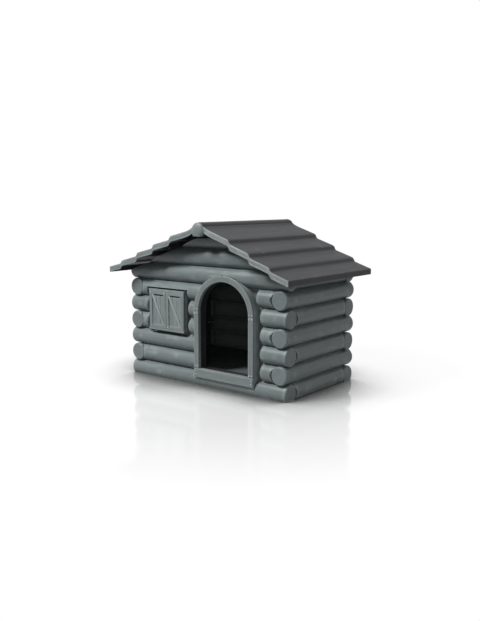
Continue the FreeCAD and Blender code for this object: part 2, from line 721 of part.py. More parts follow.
def roof_slope(side):
    label = "roof_" + side
    sign = SLOPES[side]
    reach = size("span_x") / 2 - sign * size("ridge_offset") + size(side + "_eave")
    steps = math.ceil((reach - size("first_board")) / size("board_pitch"))
    edges = ["ridge_radius / 2"]
    edges += [f"(first_board + {n} * board_pitch)" for n in range(steps)]
    edges.append(slope_reach(side))
    boards = []
    pockets = []
    for n, (inner, outer) in enumerate(zip(edges, edges[1:]), start=1):
        top = (outer, f"({first_top(side)} - {side}_fall * ({outer} - first_board))")
        start = inner if n == 1 else f"{inner} - board_thick"
        boards.append(slope_slab(f"{label}_board_{n}", side, top, (start, outer),
                                 ("0", "board_thick"), (f"-{HALF_DEPTH}", HALF_DEPTH)))
        hollow_start = RIDGE_SEAT if n == 1 else f"{inner} + board_rim"
        pockets.append(slope_slab(f"{label}_pocket_{n}", side, top, (hollow_start, f"{outer} - board_rim"),
                                  ("roof_skin", "2 * board_thick"),
                                  (f"-{HALF_DEPTH} + board_rim", f"{HALF_DEPTH} - board_rim")))
    ridge_space = rod(label + "_ridge_space", "y", everywhere, ("ridge_offset", RIDGE_Z),
                      "ridge_radius + fit_gap")
    seats = [seat for seat in ridge_seats if seat[1] == -sign]
    holes = hole_set(label + "_hole", screw_hole, seats)
    spots = []
    for n, (along, aim, point) in enumerate(seats, start=1):
        spots.append(pointed_rod(f"{label}_spot_{n}", along, -aim, point, "4 * head_height", "head_radius + fit_gap"))
    shell = cut(label + "_shell", fuse(label + "_boards", boards), pockets + [ridge_space] + holes + spots)
    # two tabs inside the gables keep the slope from sliding off
    second = "(first_board + board_pitch)"
    top = (second, f"({first_top(side)} - {side}_fall * board_pitch)")
    tab_span = (f"{second} - board_rim - tab_width", f"{second} - board_rim")
    tabs = []
    for row in (-1, 1):
        near = f"{row} * ({HALF_Y} - tab_gap)"
        far = f"{row} * ({HALF_Y} - tab_gap - board_rim)"
        y = (near, far) if row < 0 else (far, near)
        tabs.append(slope_slab(f"{label}_tab_{row + 2}", side, top, tab_span, ("roof_skin / 2", "tab_depth"), y))
    finish(fuse(label, [shell] + tabs), label)


def ridge_log():
    across = ("ridge_offset", RIDGE_Z)
    outer_end = f"({HALF_DEPTH} + ridge_overrun)"
    core = rod("ridge_core", "y", (f"-{outer_end}", outer_end), across, "ridge_radius")
    soft = soften("ridge_soft", core, is_ring, size("ridge_round"))
    inner_end = f"({outer_end} - ridge_round)"
    hollow = rod("ridge_hollow", "y", (f"-{inner_end}", inner_end), across, "ridge_radius - roof_skin")
    below = block("ridge_below", everywhere, everywhere, (f"-{BEYOND}", f"{RIDGE_Z} - ridge_drop"))
    bars = []
    reach = "(ridge_radius - 2 * roof_skin)"
    for n, row in enumerate(RIDGE_SCREW_ROWS, start=1):
        bars.append(rod(f"ridge_bar_{n}", "x", (f"ridge_offset - {reach}", f"ridge_offset + {reach}"),
                        (row, RIDGE_SCREW_Z), "boss_radius"))
    shell = cut("ridge_shell", soft, [hollow])
    holes = hole_set("ridge_hole", screw_hole, ridge_seats)
    finish(cut("ridge_log", fuse("ridge_body", [shell] + bars), [below] + holes), "ridge_log")
    fastener_set("ridge_screws", screw, ridge_seats)


# Floor tray and corner posts

def floor_tray():
    outer_x = f"({HALF_X} - fit_gap)"
    outer_y = f"({HALF_Y} - fit_gap)"
    body = block("floor_body", (f"-{outer_x}", outer_x), (f"-{outer_y}", outer_y), ("0", "floor_top"))
    under = block("floor_under", (f"-{SKIRT_X}", SKIRT_X), (f"-{SKIRT_Y}", SKIRT_Y),
                  (f"-{BEYOND}", "floor_top - floor_skin"))
    ribs = []
    for n in (-1, 0, 1):
        middle = f"({n} * span_x / 4 + span_x / 16)"
        x = (f"{middle} - floor_skin / 2", f"{middle} + floor_skin / 2")
        ribs.append(block(f"floor_rib_{n + 2}", x, (f"-{SKIRT_Y}", SKIRT_Y), ("0", "floor_top - floor_skin / 2")))
    keel = block("floor_keel", (f"-{SKIRT_X}", SKIRT_X), ("-floor_skin / 2", "floor_skin / 2"),
                 ("0", "floor_top - floor_skin / 2"))
    holes = hole_set("floor_hole", screw_hole, floor_seats)
    pan = cut("floor_pan", body, [under])
    finish(cut("floor_tray", fuse("floor_ribbed", [pan, keel] + ribs), holes), "floor_tray")
    fastener_set("floor_screws", screw, floor_seats)


def corner_posts():
    for corner, (x_sign, y_sign) in CORNERS.items():
        label = "post_" + corner
        near_x = f"({HALF_X} - post_leg)"
        near_y = f"({HALF_Y} - post_leg)"
        far_x = f"({HALF_X} - fit_gap)"
        far_y = f"({HALF_Y} - fit_gap)"
        z = ("floor_top", f"{course_axis(WALL_COURSES)} - post_short")
        body = block(label + "_body", ordered(x_sign, near_x, far_x), ordered(y_sign, near_y, far_y), z)
        room = block(label + "_room", ordered(x_sign, "0", f"({far_x} - post_skin)"),
                     ordered(y_sign, "0", f"({far_y} - post_skin)"), everywhere)
        holes = hole_set(label + "_hole", screw_hole, post_seats(x_sign, y_sign))
        finish(cut(label, body, [room] + holes), label)
    fastener_set("post_screws", screw, all_post_seats)


floor_tray()
corner_posts()
casing_holes = door_pieces()
window_holes = window_pieces()
for slope in SLOPES:
    roof_slope(slope)
ridge_log()

LINING_HALF = "(door_half + casing_skin + fit_gap)"
door_hole = arch("door_hole", LINING_HALF, "door_foot - casing_skin - fit_gap", through_y)
door_recess = arch("door_recess", f"{CASING_HALF} + fit_gap", "sill_foot - fit_gap", through_y)
door_keep = arch("door_keep", f"{CASING_HALF} + wall_skin", "sill_foot - wall_skin", through_y)
window_hole = block("window_hole_cut", (f"{WINDOW_LOW} + window_wall + window_lip",
                                        f"{WINDOW_HIGH} - window_wall - window_lip"),
                    through_y, ("window_foot + window_wall + window_lip",
                                f"{WINDOW_HEAD} - window_wall - window_lip"))
window_recess = block("window_recess", (f"{WINDOW_LOW} - recess_side", f"{WINDOW_HIGH} + recess_side"),
                      through_y, ("window_foot - recess_foot", f"{WINDOW_HEAD} + recess_head"))
window_keep = block("window_keep", (f"{WINDOW_LOW} - recess_side - wall_skin",
                                    f"{WINDOW_HIGH} + recess_side + wall_skin"),
                    through_y, ("window_foot - recess_foot - wall_skin", f"{WINDOW_HEAD} + recess_head + wall_skin"))

gable_wall("front_wall", -1, front_runs, [door_recess, window_recess],
           [door_keep, window_keep], [door_hole, window_hole] + casing_holes + window_holes)
gable_wall("rear_wall", 1, plain_runs, [], [], [])
side_wall("left_wall", -1)
side_wall("right_wall", 1)

doc.recompute()

faults = [thing.Name for thing in doc.Objects if {"Invalid", "Error"} & set(thing.State)]
faults += [thing.Label for thing in nodes if thing.Shape.isNull() or not thing.Shape.isValid()]
if faults:
    raise RuntimeError("failed pieces: " + ", ".join(faults))

os.makedirs("parts", exist_ok=True)
for thing in nodes:
    thing.Shape.exportStep(f"parts/{thing.Label}.step")
    box = thing.Shape.optimalBoundingBox(False)
    print(f"{thing.Label:18s} solids {len(thing.Shape.Solids):2d} volume {thing.Shape.Volume / 1000:9.1f} cm3"
          f"  x {box.XMin:7.1f} {box.XMax:7.1f}  y {box.YMin:7.1f} {box.YMax:7.1f}  z {box.ZMin:6.1f} {box.ZMax:6.1f}")
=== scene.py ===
import math
import bmesh
import bpy
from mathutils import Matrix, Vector


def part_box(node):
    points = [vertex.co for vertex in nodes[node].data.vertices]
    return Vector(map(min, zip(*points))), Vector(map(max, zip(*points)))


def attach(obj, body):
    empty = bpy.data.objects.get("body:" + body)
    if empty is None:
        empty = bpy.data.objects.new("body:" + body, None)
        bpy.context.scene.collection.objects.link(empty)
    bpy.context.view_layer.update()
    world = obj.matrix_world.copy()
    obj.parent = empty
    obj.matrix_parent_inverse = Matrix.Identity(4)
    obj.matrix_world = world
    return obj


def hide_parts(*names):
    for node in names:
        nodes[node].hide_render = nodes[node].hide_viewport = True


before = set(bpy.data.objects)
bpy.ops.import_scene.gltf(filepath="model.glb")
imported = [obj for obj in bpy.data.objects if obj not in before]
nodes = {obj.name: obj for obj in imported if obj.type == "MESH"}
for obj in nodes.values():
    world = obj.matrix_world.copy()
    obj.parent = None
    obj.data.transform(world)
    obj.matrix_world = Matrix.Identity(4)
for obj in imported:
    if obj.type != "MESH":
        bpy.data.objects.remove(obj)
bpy.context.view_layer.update()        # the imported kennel, in metres, front towards -Y
print("frame loaded:", len(nodes), "nodes")


# Shader maths: a Wire is one value in a material's node tree
class Wire:
    def __init__(self, tree, socket=None):
        self.tree = tree
        self.socket = socket

    def add(self, kind, settings=None, inputs=None, output=0):
        node = self.tree.nodes.new(kind)
        for key, value in (settings or {}).items():
            if key == "stops":
                self.setStops(node.color_ramp, value)
            else:
                setattr(node, key, value)
        for key, value in (inputs or {}).items():
            if isinstance(value, Wire):
                self.tree.links.new(value.socket, node.inputs[key])
            else:
                node.inputs[key].default_value = value
        return Wire(self.tree, node.outputs[output] if len(node.outputs) else None)

    def setStops(self, ramp, stops):
        while len(ramp.elements) < len(stops):
            ramp.elements.new(1.0)
        for element, (place, level) in zip(ramp.elements, stops):
            element.position = place
            element.color = (level, level, level, 1)

    def maths(self, operation, first, second):
        return self.add("ShaderNodeMath", {"operation": operation}, {0: first, 1: second})

    def __add__(self, other):
        return self.maths("ADD", self, other)

    def __sub__(self, other):
        return self.maths("SUBTRACT", self, other)

    def __mul__(self, other):
        return self.maths("MULTIPLY", self, other)

    def __truediv__(self, other):
        return self.maths("DIVIDE", self, other)

    def __radd__(self, other):
        return self.maths("ADD", other, self)

    def __rsub__(self, other):
        return self.maths("SUBTRACT", other, self)

    def __rmul__(self, other):
        return self.maths("MULTIPLY", other, self)


def newMaterial(name):
    material = bpy.data.materials.new(name)
    material.use_nodes = True
    material.node_tree.nodes.clear()
    return material, Wire(material.node_tree)


def closeMaterial(start, shader):
    start.add("ShaderNodeOutputMaterial", None, {"Surface": shader})


def noise(start, where, scale, detail=3.0, roughness=0.55):
    return start.add("ShaderNodeTexNoise", {"noise_dimensions": "3D"},
                     {"Vector": where, "Scale": scale, "Detail": detail, "Roughness": roughness})


def ramp(start, value, stops):
    return start.add("ShaderNodeValToRGB", {"stops": stops}, {"Fac": value})


def blendColour(start, share, first, second):
    return start.add("ShaderNodeMix", {"data_type": "RGBA"}, {0: share, 6: first, 7: second}, 2)


def objectPlace(start):
    return start.add("ShaderNodeTexCoord", None, None, 3)


def raised(start, height):
    # the surface normal over a height in metres
    return start.add("ShaderNodeBump", None, {"Strength": 1.0, "Distance": 1.0, "Height": height})


def shelter(start, reach, samples):
    # 1 in the open, falling to 0 where other surfaces stand within reach
    return start.add("ShaderNodeAmbientOcclusion", {"samples": samples}, {"Distance": reach}, 1)


def edgeWearAndHighlight(start, look, place):
    # 1 on outer edges, where wear and a painted highlight go, 0 on open faces
    rounded = start.add("ShaderNodeBevel", {"samples": look["samples"]}, {"Radius": look["edgeMarkWidth"]})
    plain = start.add("ShaderNodeNewGeometry", None, None, 1)
    alike = start.add("ShaderNodeVectorMath", {"operation": "DOT_PRODUCT"}, {0: rounded, 1: plain}, 1)
    broken = noise(start, place, look["edgeMarkScale"], 4.0)
    edge = ramp(start, 1 - alike, look["edgeMarkStops"])
    return edge * ramp(start, broken, look["brokenStops"])


def mouldedPlastic(name, look):
    # satin moulded plastic with the long soft grain of imitated timber, with painted shade in its recesses,
    # and lighter edges and grain streaks that are partly wear and partly painted highlight
    material, start = newMaterial(name)
    place = objectPlace(start)
    turned = start.add("ShaderNodeMapping", None, {"Vector": place, "Rotation": look["grainTurn"]})
    along = start.add("ShaderNodeMapping", None, {"Vector": turned, "Scale": look["grainAlong"]})
    cloud = noise(start, place, look["cloudScale"], 4.0)
    grain = noise(start, along, look["grainScale"], 5.0, 0.6)
    streak = noise(start, along, look["streakScale"], 3.0)
    pebble = noise(start, place, look["pebbleScale"], 2.0)
    wornAndLitEdge = edgeWearAndHighlight(start, look, place)
    hidden = shelter(start, look["recessShadeReach"], look["samples"])

    grainStreakAndSheen = ramp(start, grain, look["sheenStreakStops"]) * ramp(start, streak, look["sheenStreakPatches"])
    tone = (look["tone"] + (cloud - 0.5) * look["cloudy"]
            + (grain - 0.5) * look["grainy"] + (streak - 0.5) * look["streaky"])
    # painted shade: the colour darkens where other surfaces stand near, in recesses and creases
    paintedRecessShade = ramp(start, hidden, list(zip(look["recessShadeSpan"], (look["recessShade"], 1.0))))
    shaded = start.add("ShaderNodeVectorMath", {"operation": "SCALE"},
                       {0: look["colour"], "Scale": tone * paintedRecessShade})
    # edges and grain streaks blend towards a lighter colour: partly wear, partly painted highlight
    wearAndHighlightShare = wornAndLitEdge * look["wearAndHighlight"] + grainStreakAndSheen * look["streakAndSheen"]
    coloured = blendColour(start, wearAndHighlightShare, shaded, look["wornAndHighlightColour"] + (1,))
    rough = (look["rough"] + (grain - 0.5) * look["grainRough"]
             + (cloud - 0.5) * look["cloudRough"] - wornAndLitEdge * look["wearPolish"])
    height = (grain * look["grainDepth"] + streak * look["waveDepth"]
              + pebble * look["pebbleDepth"] + cloud * look["waveDepth"])
    closeMaterial(start, start.add("ShaderNodeBsdfPrincipled", None, {
        "Base Color": coloured, "Roughness": rough, "Normal": raised(start, height),
        "Specular IOR Level": look["shine"]}))
    return material


def zincPlated(name, look):
    material, start = newMaterial(name)
    place = objectPlace(start)
    cloud = noise(start, place, look["cloudScale"], 4.0)
    fine = noise(start, place, look["fineScale"], 2.0)
    coloured = blendColour(start, cloud, look["dull"] + (1,), look["bright"] + (1,))
    closeMaterial(start, start.add("ShaderNodeBsdfPrincipled", None, {
        "Base Color": coloured, "Metallic": 1.0, "Roughness": look["rough"] + cloud * look["cloudRough"],
        "Normal": raised(start, fine * look["fineDepth"])}))
    return material


# Grain runs along the axis with the small number, and grainTurn lays it along a roof slope
plasticLooks = {
    "frontLogPlastic": {"colour": (0.182, 0.216, 0.216), "grainAlong": (2.2, 30, 30)},
    "sideLogPlastic": {"colour": (0.182, 0.216, 0.216), "grainAlong": (30, 2.2, 30)},
    # the inside faces are painted much lighter than the logs outside: painted light in the dark cabin
    "paintedLightInsidePlastic": {"colour": (0.36, 0.385, 0.39), "grainAlong": (2.2, 30, 30), "wearAndHighlight": 0.1, "rough": 0.55},
    # the roof top is painted darker than its rakes though it is the same plastic: painted shade; its risers
    # and underside are painted lighter: painted light
    "paintedShadeRoofPlastic": {"colour": (0.055, 0.0565, 0.0595), "grainAlong": (30, 1.6, 30), "rough": 0.52,
                    "shine": 0.15, "wearAndHighlight": 0.25, "wornAndHighlightColour": (0.2, 0.215, 0.22), "cloudy": 0.2},
    "paintedLightRiserPlastic": {"colour": (0.085, 0.087, 0.091), "grainAlong": (30, 1.6, 30), "rough": 0.52,
                     "shine": 0.15},
    "paintedLightUnderRoofPlastic": {"colour": (0.17, 0.185, 0.19), "grainAlong": (30, 1.6, 30), "rough": 0.55,
                         "wearAndHighlight": 0.1},
    # both rakes carry strong lighter streaks as painted highlights, and the right rake is painted lighter
    # than the left: painted light
    "leftRakePlastic": {"colour": (0.2, 0.226, 0.23), "grainAlong": (5, 40, 70),
                        "grainTurn": (0, math.radians(21), 0), "streakAndSheen": 0.7},
    "rightRakePlastic": {"colour": (0.23, 0.255, 0.26), "grainAlong": (5, 40, 70),
                         "grainTurn": (0, math.radians(-26), 0), "streakAndSheen": 0.8,
                         "wornAndHighlightColour": (0.5, 0.54, 0.54)},
    "uprightTrimPlastic": {"colour": (0.2, 0.23, 0.23), "grainAlong": (50, 50, 4)},
    # the brace is painted lighter than the other trim: a painted highlight
    "paintedHighlightBracePlastic": {"colour": (0.3, 0.335, 0.335), "grainAlong": (50, 50, 4), "rough": 0.36},
    # the lining is painted near black: painted shade in the doorway; the casing's outer side is painted
    # lighter: painted light
    "paintedShadeLiningPlastic": {"colour": (0.022, 0.025, 0.026), "grainAlong": (50, 50, 4), "wearAndHighlight": 0.05, "rough": 0.6},
    "paintedLightCasingSidePlastic": {"colour": (0.4, 0.44, 0.44), "grainAlong": (50, 50, 4), "recessShade": 1.0},
    "levelTrimPlastic": {"colour": (0.2, 0.23, 0.23), "grainAlong": (4, 50, 50)},
    "floorPlastic": {"colour": (0.12, 0.13, 0.135), "grainAlong": (4, 30, 30), "rough": 0.55, "wearAndHighlight": 0.1},
    "nailPlastic": {"colour": (0.36, 0.4, 0.4), "grainAlong": (20, 20, 20), "rough": 0.25, "shine": 0.7},
}
usualLook = {
    "tone": 0.84, "cloudy": 0.3, "grainy": 0.2, "streaky": 0.2, "samples": 6,
    # painted shade in recesses: how dark it gets, how far it reaches, and its span
    "recessShade": 0.78, "recessShadeReach": 0.06, "recessShadeSpan": (0.2, 0.85),
    "cloudScale": 9.0, "grainScale": 3.0, "streakScale": 1.05, "pebbleScale": 1400.0, "grainTurn": (0, 0, 0),
    "grainDepth": 0.0007, "waveDepth": 0.0014, "pebbleDepth": 0.00003,
    "rough": 0.42, "grainRough": 0.16, "cloudRough": 0.14, "wearPolish": 0.1, "shine": 0.3,
    # lighter edges: partly wear, partly painted highlight
    "wearAndHighlight": 0.5, "edgeMarkWidth": 0.014, "edgeMarkScale": 60.0, "wornAndHighlightColour": (0.38, 0.43, 0.43),
    "edgeMarkStops": [(0.008, 0.0), (0.12, 1.0)], "brokenStops": [(0.3, 0.35), (0.65, 1.0)],
    # lighter streaks along the grain: partly grain, partly painted highlight
    "streakAndSheen": 0.08, "sheenStreakStops": [(0.52, 0.0), (0.68, 1.0)], "sheenStreakPatches": [(0.42, 0.0), (0.66, 1.0)],
}
zincLook = {"dull": (0.42, 0.43, 0.44), "bright": (0.62, 0.63, 0.64), "rough": 0.3, "cloudRough": 0.2,
            "cloudScale": 220.0, "fineScale": 2600.0, "fineDepth": 0.00002}
finishes = {name: mouldedPlastic(name, {**usualLook, **look}) for name, look in plasticLooks.items()}
finishes["zincSteel"] = zincPlated("zincSteel", zincLook)
print("materials made:", len(finishes))


# Mesh tools, as used by hand
hair = 0.0005           # nearer than this counts as the same place
nodeWeld = 0.00002      # corners of a CAD mesh nearer than this are one
mostly = 0.5            # a normal with more than this along an axis faces that way
squarely = 0.9          # and with more than this, it faces that way straight


def activate(piece):
    bpy.ops.object.select_all(action="DESELECT")
    piece.select_set(True)
    bpy.context.view_layer.objects.active = piece


def openMesh(piece):
    activate(piece)
    bpy.ops.object.mode_set(mode="EDIT")
    bpy.ops.mesh.select_all(action="SELECT")


def closeMesh():
    bpy.ops.object.mode_set(mode="OBJECT")


def applyPlace():
    bpy.ops.object.transform_apply(location=True, rotation=True, scale=True)


def addNew(name, primitive, **settings):
    bpy.ops.object.select_all(action="DESELECT")
    primitive(**settings)
    piece = bpy.context.object
    piece.name = name
    return piece


def pick(piece, kind, test):
    # selects the corners, edges or faces that pass a test, and nothing else
    bpy.ops.mesh.select_mode(type=kind)
    bpy.ops.mesh.select_all(action="DESELECT")
    mesh = bmesh.from_edit_mesh(piece.data)
    mesh.normal_update()
    for item in {"VERT": mesh.verts, "EDGE": mesh.edges, "FACE": mesh.faces}[kind]:
        if test(item):
            item.select_set(True)
    bmesh.update_edit_mesh(piece.data)


def moveOut(step):
    bpy.ops.mesh.extrude_region_move(TRANSFORM_OT_translate={"value": step})


def middle(edge):
    return (edge.verts[0].co + edge.verts[1].co) / 2


def span(edge, axis):
    return abs(edge.verts[0].co[axis] - edge.verts[1].co[axis])


def isSharp(edge, degrees=50):
    return len(edge.link_faces) == 2 and edge.calc_face_angle() > math.radians(degrees)


def roundEdges(piece, test, width, steps):
    pick(piece, "EDGE", test)
    bpy.ops.mesh.bevel(offset=width, segments=steps, affect="EDGES")


def divideEdges(piece, test, cuts):
    pick(piece, "EDGE", test)
    bpy.ops.mesh.subdivide(number_cuts=cuts)


def weld(gap):
    bpy.ops.mesh.select_all(action="SELECT")
    bpy.ops.mesh.remove_doubles(threshold=gap)
    bpy.ops.mesh.normals_make_consistent(inside=False)


def shapeWith(piece, kind, **settings):
    modifier = piece.modifiers.new(kind.lower(), kind)
    for key, value in settings.items():
        setattr(modifier, key, value)
    activate(piece)
    bpy.ops.object.modifier_apply(modifier=modifier.name)


def markGroup(piece, name, test):
    group = piece.vertex_groups.new(name=name)
    group.add([vert.index for vert in piece.data.vertices if test(vert)], 1.0, "REPLACE")
    return name


def carve(piece, group, stretch, grainSize, depth, turn=(0, 0, 0)):
    # uneven relief in the surface, drawn out along the axes with a large stretch
    relief = bpy.data.textures.new("relief", "CLOUDS")
    relief.noise_scale = grainSize
    relief.noise_depth = 3
    bpy.ops.object.empty_add(rotation=turn)
    guide = bpy.context.object
    guide.scale = stretch
    bpy.context.view_layer.update()
    shapeWith(piece, "DISPLACE", texture=relief, texture_coords="OBJECT", texture_coords_object=guide,
              strength=depth, mid_level=0.5, vertex_group=group)
    bpy.data.objects.remove(guide)
    bpy.data.textures.remove(relief)


def addBlock(name, low, high):
    low, high = Vector(low), Vector(high)
    block = addNew(name, bpy.ops.mesh.primitive_cube_add, size=1, location=(low + high) / 2, scale=high - low)
    applyPlace()
    return block


def addDome(name, look, cutY):
    # a flattened ball, cut so that its dome faces the front
    dome = addNew(name, bpy.ops.mesh.primitive_uv_sphere_add, segments=look["segments"],
                  ring_count=look["segments"] // 2, radius=1, rotation=(math.radians(90), 0, 0))
    dome.scale = (look["radius"], look["radius"], look["rise"])
    applyPlace()
    openMesh(dome)
    bpy.ops.mesh.bisect(plane_co=(0, cutY, 0), plane_no=(0, 1, 0), clear_outer=True, use_fill=True)
    closeMesh()
    return dome


def copiesAt(model, spots):
    # a copy with its own mesh at each spot, in place of the model
    copies = []
    for spot in spots:
        twin = bpy.data.objects.new(model.name, model.data.copy())
        bpy.context.scene.collection.objects.link(twin)
        activate(twin)
        twin.location = spot
        applyPlace()
        copies.append(twin)
    bpy.data.objects.remove(model)
    return copies


def joined(pieces):
    activate(pieces[0])
    for piece in pieces[1:]:
        piece.select_set(True)
    bpy.ops.object.join()
    return pieces[0]


def copyOfNode(name, node):
    # a merged copy of a CAD mesh, which is loose triangles
    piece = bpy.data.objects.new(name, nodes[node].data.copy())
    bpy.context.scene.collection.objects.link(piece)
    openMesh(piece)
    bpy.ops.mesh.remove_doubles(threshold=nodeWeld)
    closeMesh()
    return piece


def paint(piece, finish, test=None):
    # the first finish covers the whole piece, a later one the faces that pass its test
    if test is None:
        piece.data.materials.clear()
    piece.data.materials.append(finishes[finish])
    if test is not None:
        for face in piece.data.polygons:
            if test(face):
                face.material_index = len(piece.data.materials) - 1


def settle(piece, body, replaced, angle=40):
    activate(piece)
    applyPlace()
    bpy.ops.object.shade_smooth_by_angle(angle=math.radians(angle))
    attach(piece, body)
    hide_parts(*replaced)
    print(piece.name, "done,", len(piece.data.polygons), "faces")


# Roof slopes: one stepped skin each, pulled out along its steps from an edge beside the ridge
roofBoards = {
    "ridgeX": 0.035, "ridgeZ": 0.710, "rollRadius": 0.037, "rollProud": 0.0006, "halfDepth": 0.340,
    "firstBoard": 0.174, "boardPitch": 0.107, "rakeDrop": 0.0262, "skin": 0.004, "weldGap": 0.00005,
    "noseBack": 0.005, "noseRound": 0.008, "noseSteps": 5, "edgeRound": 0.003, "edgeSteps": 3,
    "footOut": 0.004, "footRound": 0.006, "footSteps": 4, "underside": -0.3, "riserUp": 0.1,
    "flareStart": 0.032, "flareBend": 0.041, "flareEnd": 0.085, "flareSteps": 6, "rowsAlong": 44,
    "treadLeast": 0.03, "rowsAcross": 7, "rakeLeast": 0.018, "rakeRows": 5,
    "treadStretch": (1, 12, 1), "treadGrain": 0.02, "treadRelief": 0.0016,
    "rakeBand": 0.006, "rakeStretch": (12, 1, 1.2), "rakeGrain": 0.006, "rakeRelief": 0.0022,
    "tabWide": 0.06, "tabDeep": 0.06, "tabThick": 0.005, "tabIn": 0.234, "tabBack": 0.005, "tabSunk": 0.002,
    "tabRound": 0.0012, "tabSteps": 2,
}
roofSlopes = {
    "left": {"sign": -1, "firstTop": 0.681, "fall": 0.39, "tilt": 0.245, "reach": 0.577},
    "right": {"sign": 1, "firstTop": 0.675, "fall": 0.49, "tilt": 0.335, "reach": 0.480},
}


def boardTop(slope, outer, distance):
    # height of the board that ends at outer, at a distance from the ridge
    foot = slope["firstTop"] - slope["fall"] * (outer - roofBoards["firstBoard"])
    return foot + slope["tilt"] * (outer - distance)


def slopeLine(slope):
    # distance from the ridge and height of each corner of the stepped top, and the noses and feet among them
    first = roofBoards["firstBoard"]
    near, bend, far = roofBoards["flareStart"], roofBoards["flareBend"], roofBoards["flareEnd"]
    rollSide = math.sqrt(roofBoards["rollRadius"] ** 2 - near ** 2) + roofBoards["rollProud"]
    flare = [(near, roofBoards["ridgeZ"] + rollSide), (bend, boardTop(slope, first, bend)),
             (far, boardTop(slope, first, far))]
    line = []
    for step in range(roofBoards["flareSteps"] + 1):
        t = step / roofBoards["flareSteps"]
        shares = ((1 - t) ** 2, 2 * t * (1 - t), t ** 2)
        line.append(tuple(sum(share * spot[way] for share, spot in zip(shares, flare)) for way in (0, 1)))
    noses, feet = [], []
    outer = first
    while True:
        nose = outer - roofBoards["noseBack"]
        noses.append((nose, boardTop(slope, outer, nose)))
        line.append(noses[-1])
        if outer > slope["reach"] - hair:
            return line, noses, feet
        following = min(outer + roofBoards["boardPitch"], slope["reach"] + roofBoards["noseBack"])
        foot = outer + roofBoards["footOut"]
        feet.append((foot, boardTop(slope, following, foot)))
        line.append(feet[-1])
        outer = following


def roofTab(side, slope, row):
    # the tongue that hangs inside a gable and keeps the slope from sliding off
    outer = roofBoards["firstBoard"] + roofBoards["boardPitch"]
    wide, thick = roofBoards["tabWide"] / 2, roofBoards["tabThick"] / 2
    distance = outer - roofBoards["tabBack"] - wide
    x = roofBoards["ridgeX"] + slope["sign"] * distance
    y = row * (roofBoards["tabIn"] - thick)
    top = boardTop(slope, outer, distance) - roofBoards["tabSunk"]
    foot = top - roofBoards["tabDeep"]
    tab = addBlock(f"roofTab{side}{row}", (x - wide, y - thick, foot), (x + wide, y + thick, top))
    openMesh(tab)
    turn = slope["sign"] * -math.atan(slope["tilt"])
    bpy.ops.transform.rotate(value=turn, orient_axis="Y", center_override=(x, y, top))
    roundEdges(tab, isSharp, roofBoards["tabRound"], roofBoards["tabSteps"])
    closeMesh()
    return tab


def makeSlope(side):
    slope = roofSlopes[side]
    line, noses, feet = slopeLine(slope)
    depth = roofBoards["halfDepth"]

    def across(corners):
        return [Vector((roofBoards["ridgeX"] + slope["sign"] * away, 0, z)) for away, z in corners]

    def crosses(corners):
        places = across(corners)
        return lambda edge: any((middle(edge) - place).length < hair for place in places)

    spots = across(line)
    skin = addNew("roofSlope" + side.capitalize(), bpy.ops.mesh.primitive_plane_add, size=2 * depth)
    openMesh(skin)
    pick(skin, "VERT", lambda vert: vert.co.x > 0)
    bpy.ops.mesh.delete(type="VERT")
    bpy.ops.mesh.select_all(action="SELECT")
    bpy.ops.transform.translate(value=spots[0] + Vector((depth, 0, 0)))
    bpy.ops.mesh.select_mode(type="EDGE")
    for spot, following in zip(spots, spots[1:]):
        moveOut(following - spot)
    roundEdges(skin, crosses(noses[:-1]), roofBoards["noseRound"], roofBoards["noseSteps"])
    roundEdges(skin, crosses(feet), roofBoards["footRound"], roofBoards["footSteps"])
    pick(skin, "EDGE", lambda edge: edge.is_boundary and abs(middle(edge).x - spots[0].x) > hair)
    moveOut((0, 0, -roofBoards["rakeDrop"]))
    roundEdges(skin, isSharp, roofBoards["edgeRound"], roofBoards["edgeSteps"])
    divideEdges(skin, lambda edge: span(edge, 1) > depth, roofBoards["rowsAlong"])
    divideEdges(skin, lambda edge: span(edge, 0) > roofBoards["treadLeast"], roofBoards["rowsAcross"])
    divideEdges(skin, lambda edge: span(edge, 2) > roofBoards["rakeLeast"], roofBoards["rakeRows"])
    weld(roofBoards["weldGap"])
    closeMesh()
    if sum(face.normal.z * face.area for face in skin.data.polygons) < 0:
        openMesh(skin)
        bpy.ops.mesh.flip_normals()
        closeMesh()
    rakeStart = depth - roofBoards["rakeBand"]
    onRake = markGroup(skin, "rake", lambda vert: abs(vert.co.y) > depth - hair)
    onTread = markGroup(skin, "tread", lambda vert: abs(vert.co.y) < rakeStart)
    lean = slope["sign"] * math.atan(slope["fall"])
    carve(skin, onTread, roofBoards["treadStretch"], roofBoards["treadGrain"], roofBoards["treadRelief"])
    carve(skin, onRake, roofBoards["rakeStretch"], roofBoards["rakeGrain"], roofBoards["rakeRelief"],
          (0, lean, 0))
    shapeWith(skin, "SOLIDIFY", thickness=roofBoards["skin"], offset=-1)
    skin = joined([skin] + [roofTab(side, slope, row) for row in (-1, 1)])

    def onRiser(face):
        away = abs(face.center.x - roofBoards["ridgeX"])
        leans = abs(face.normal.x) > mostly and face.normal.z > roofBoards["riserUp"]
        return leans and away > roofBoards["flareEnd"]

    # the top is painted dark as painted shade, undersides and risers lighter as painted light, and the rakes
    # carry painted highlights
    paint(skin, "paintedShadeRoofPlastic")
    paint(skin, "paintedLightUnderRoofPlastic", lambda face: face.normal.z < roofBoards["underside"])
    paint(skin, "paintedLightRiserPlastic", onRiser)
    paint(skin, side + "RakePlastic",
          lambda face: abs(face.normal.y) > mostly and abs(face.center.y) > rakeStart)
    settle(skin, "roof", ["roof_" + side])


# Ridge roll: a cylinder with domed ends, open below
ridgeRoll = {"radius": 0.037, "axisZ": 0.710, "cutZ": 0.686, "skin": 0.003, "sides": 64, "rows": 60,
             "domeDepth": 0.016, "domeSteps": 8, "domeAngle": 86, "knobBack": 0.004, "knobPaint": 0.002,
             "stretch": (1, 10, 1), "grain": 0.02, "relief": 0.0012,
             "knobStretch": (1, 1, 3), "knobGrain": 0.014, "knobRelief": 0.003}


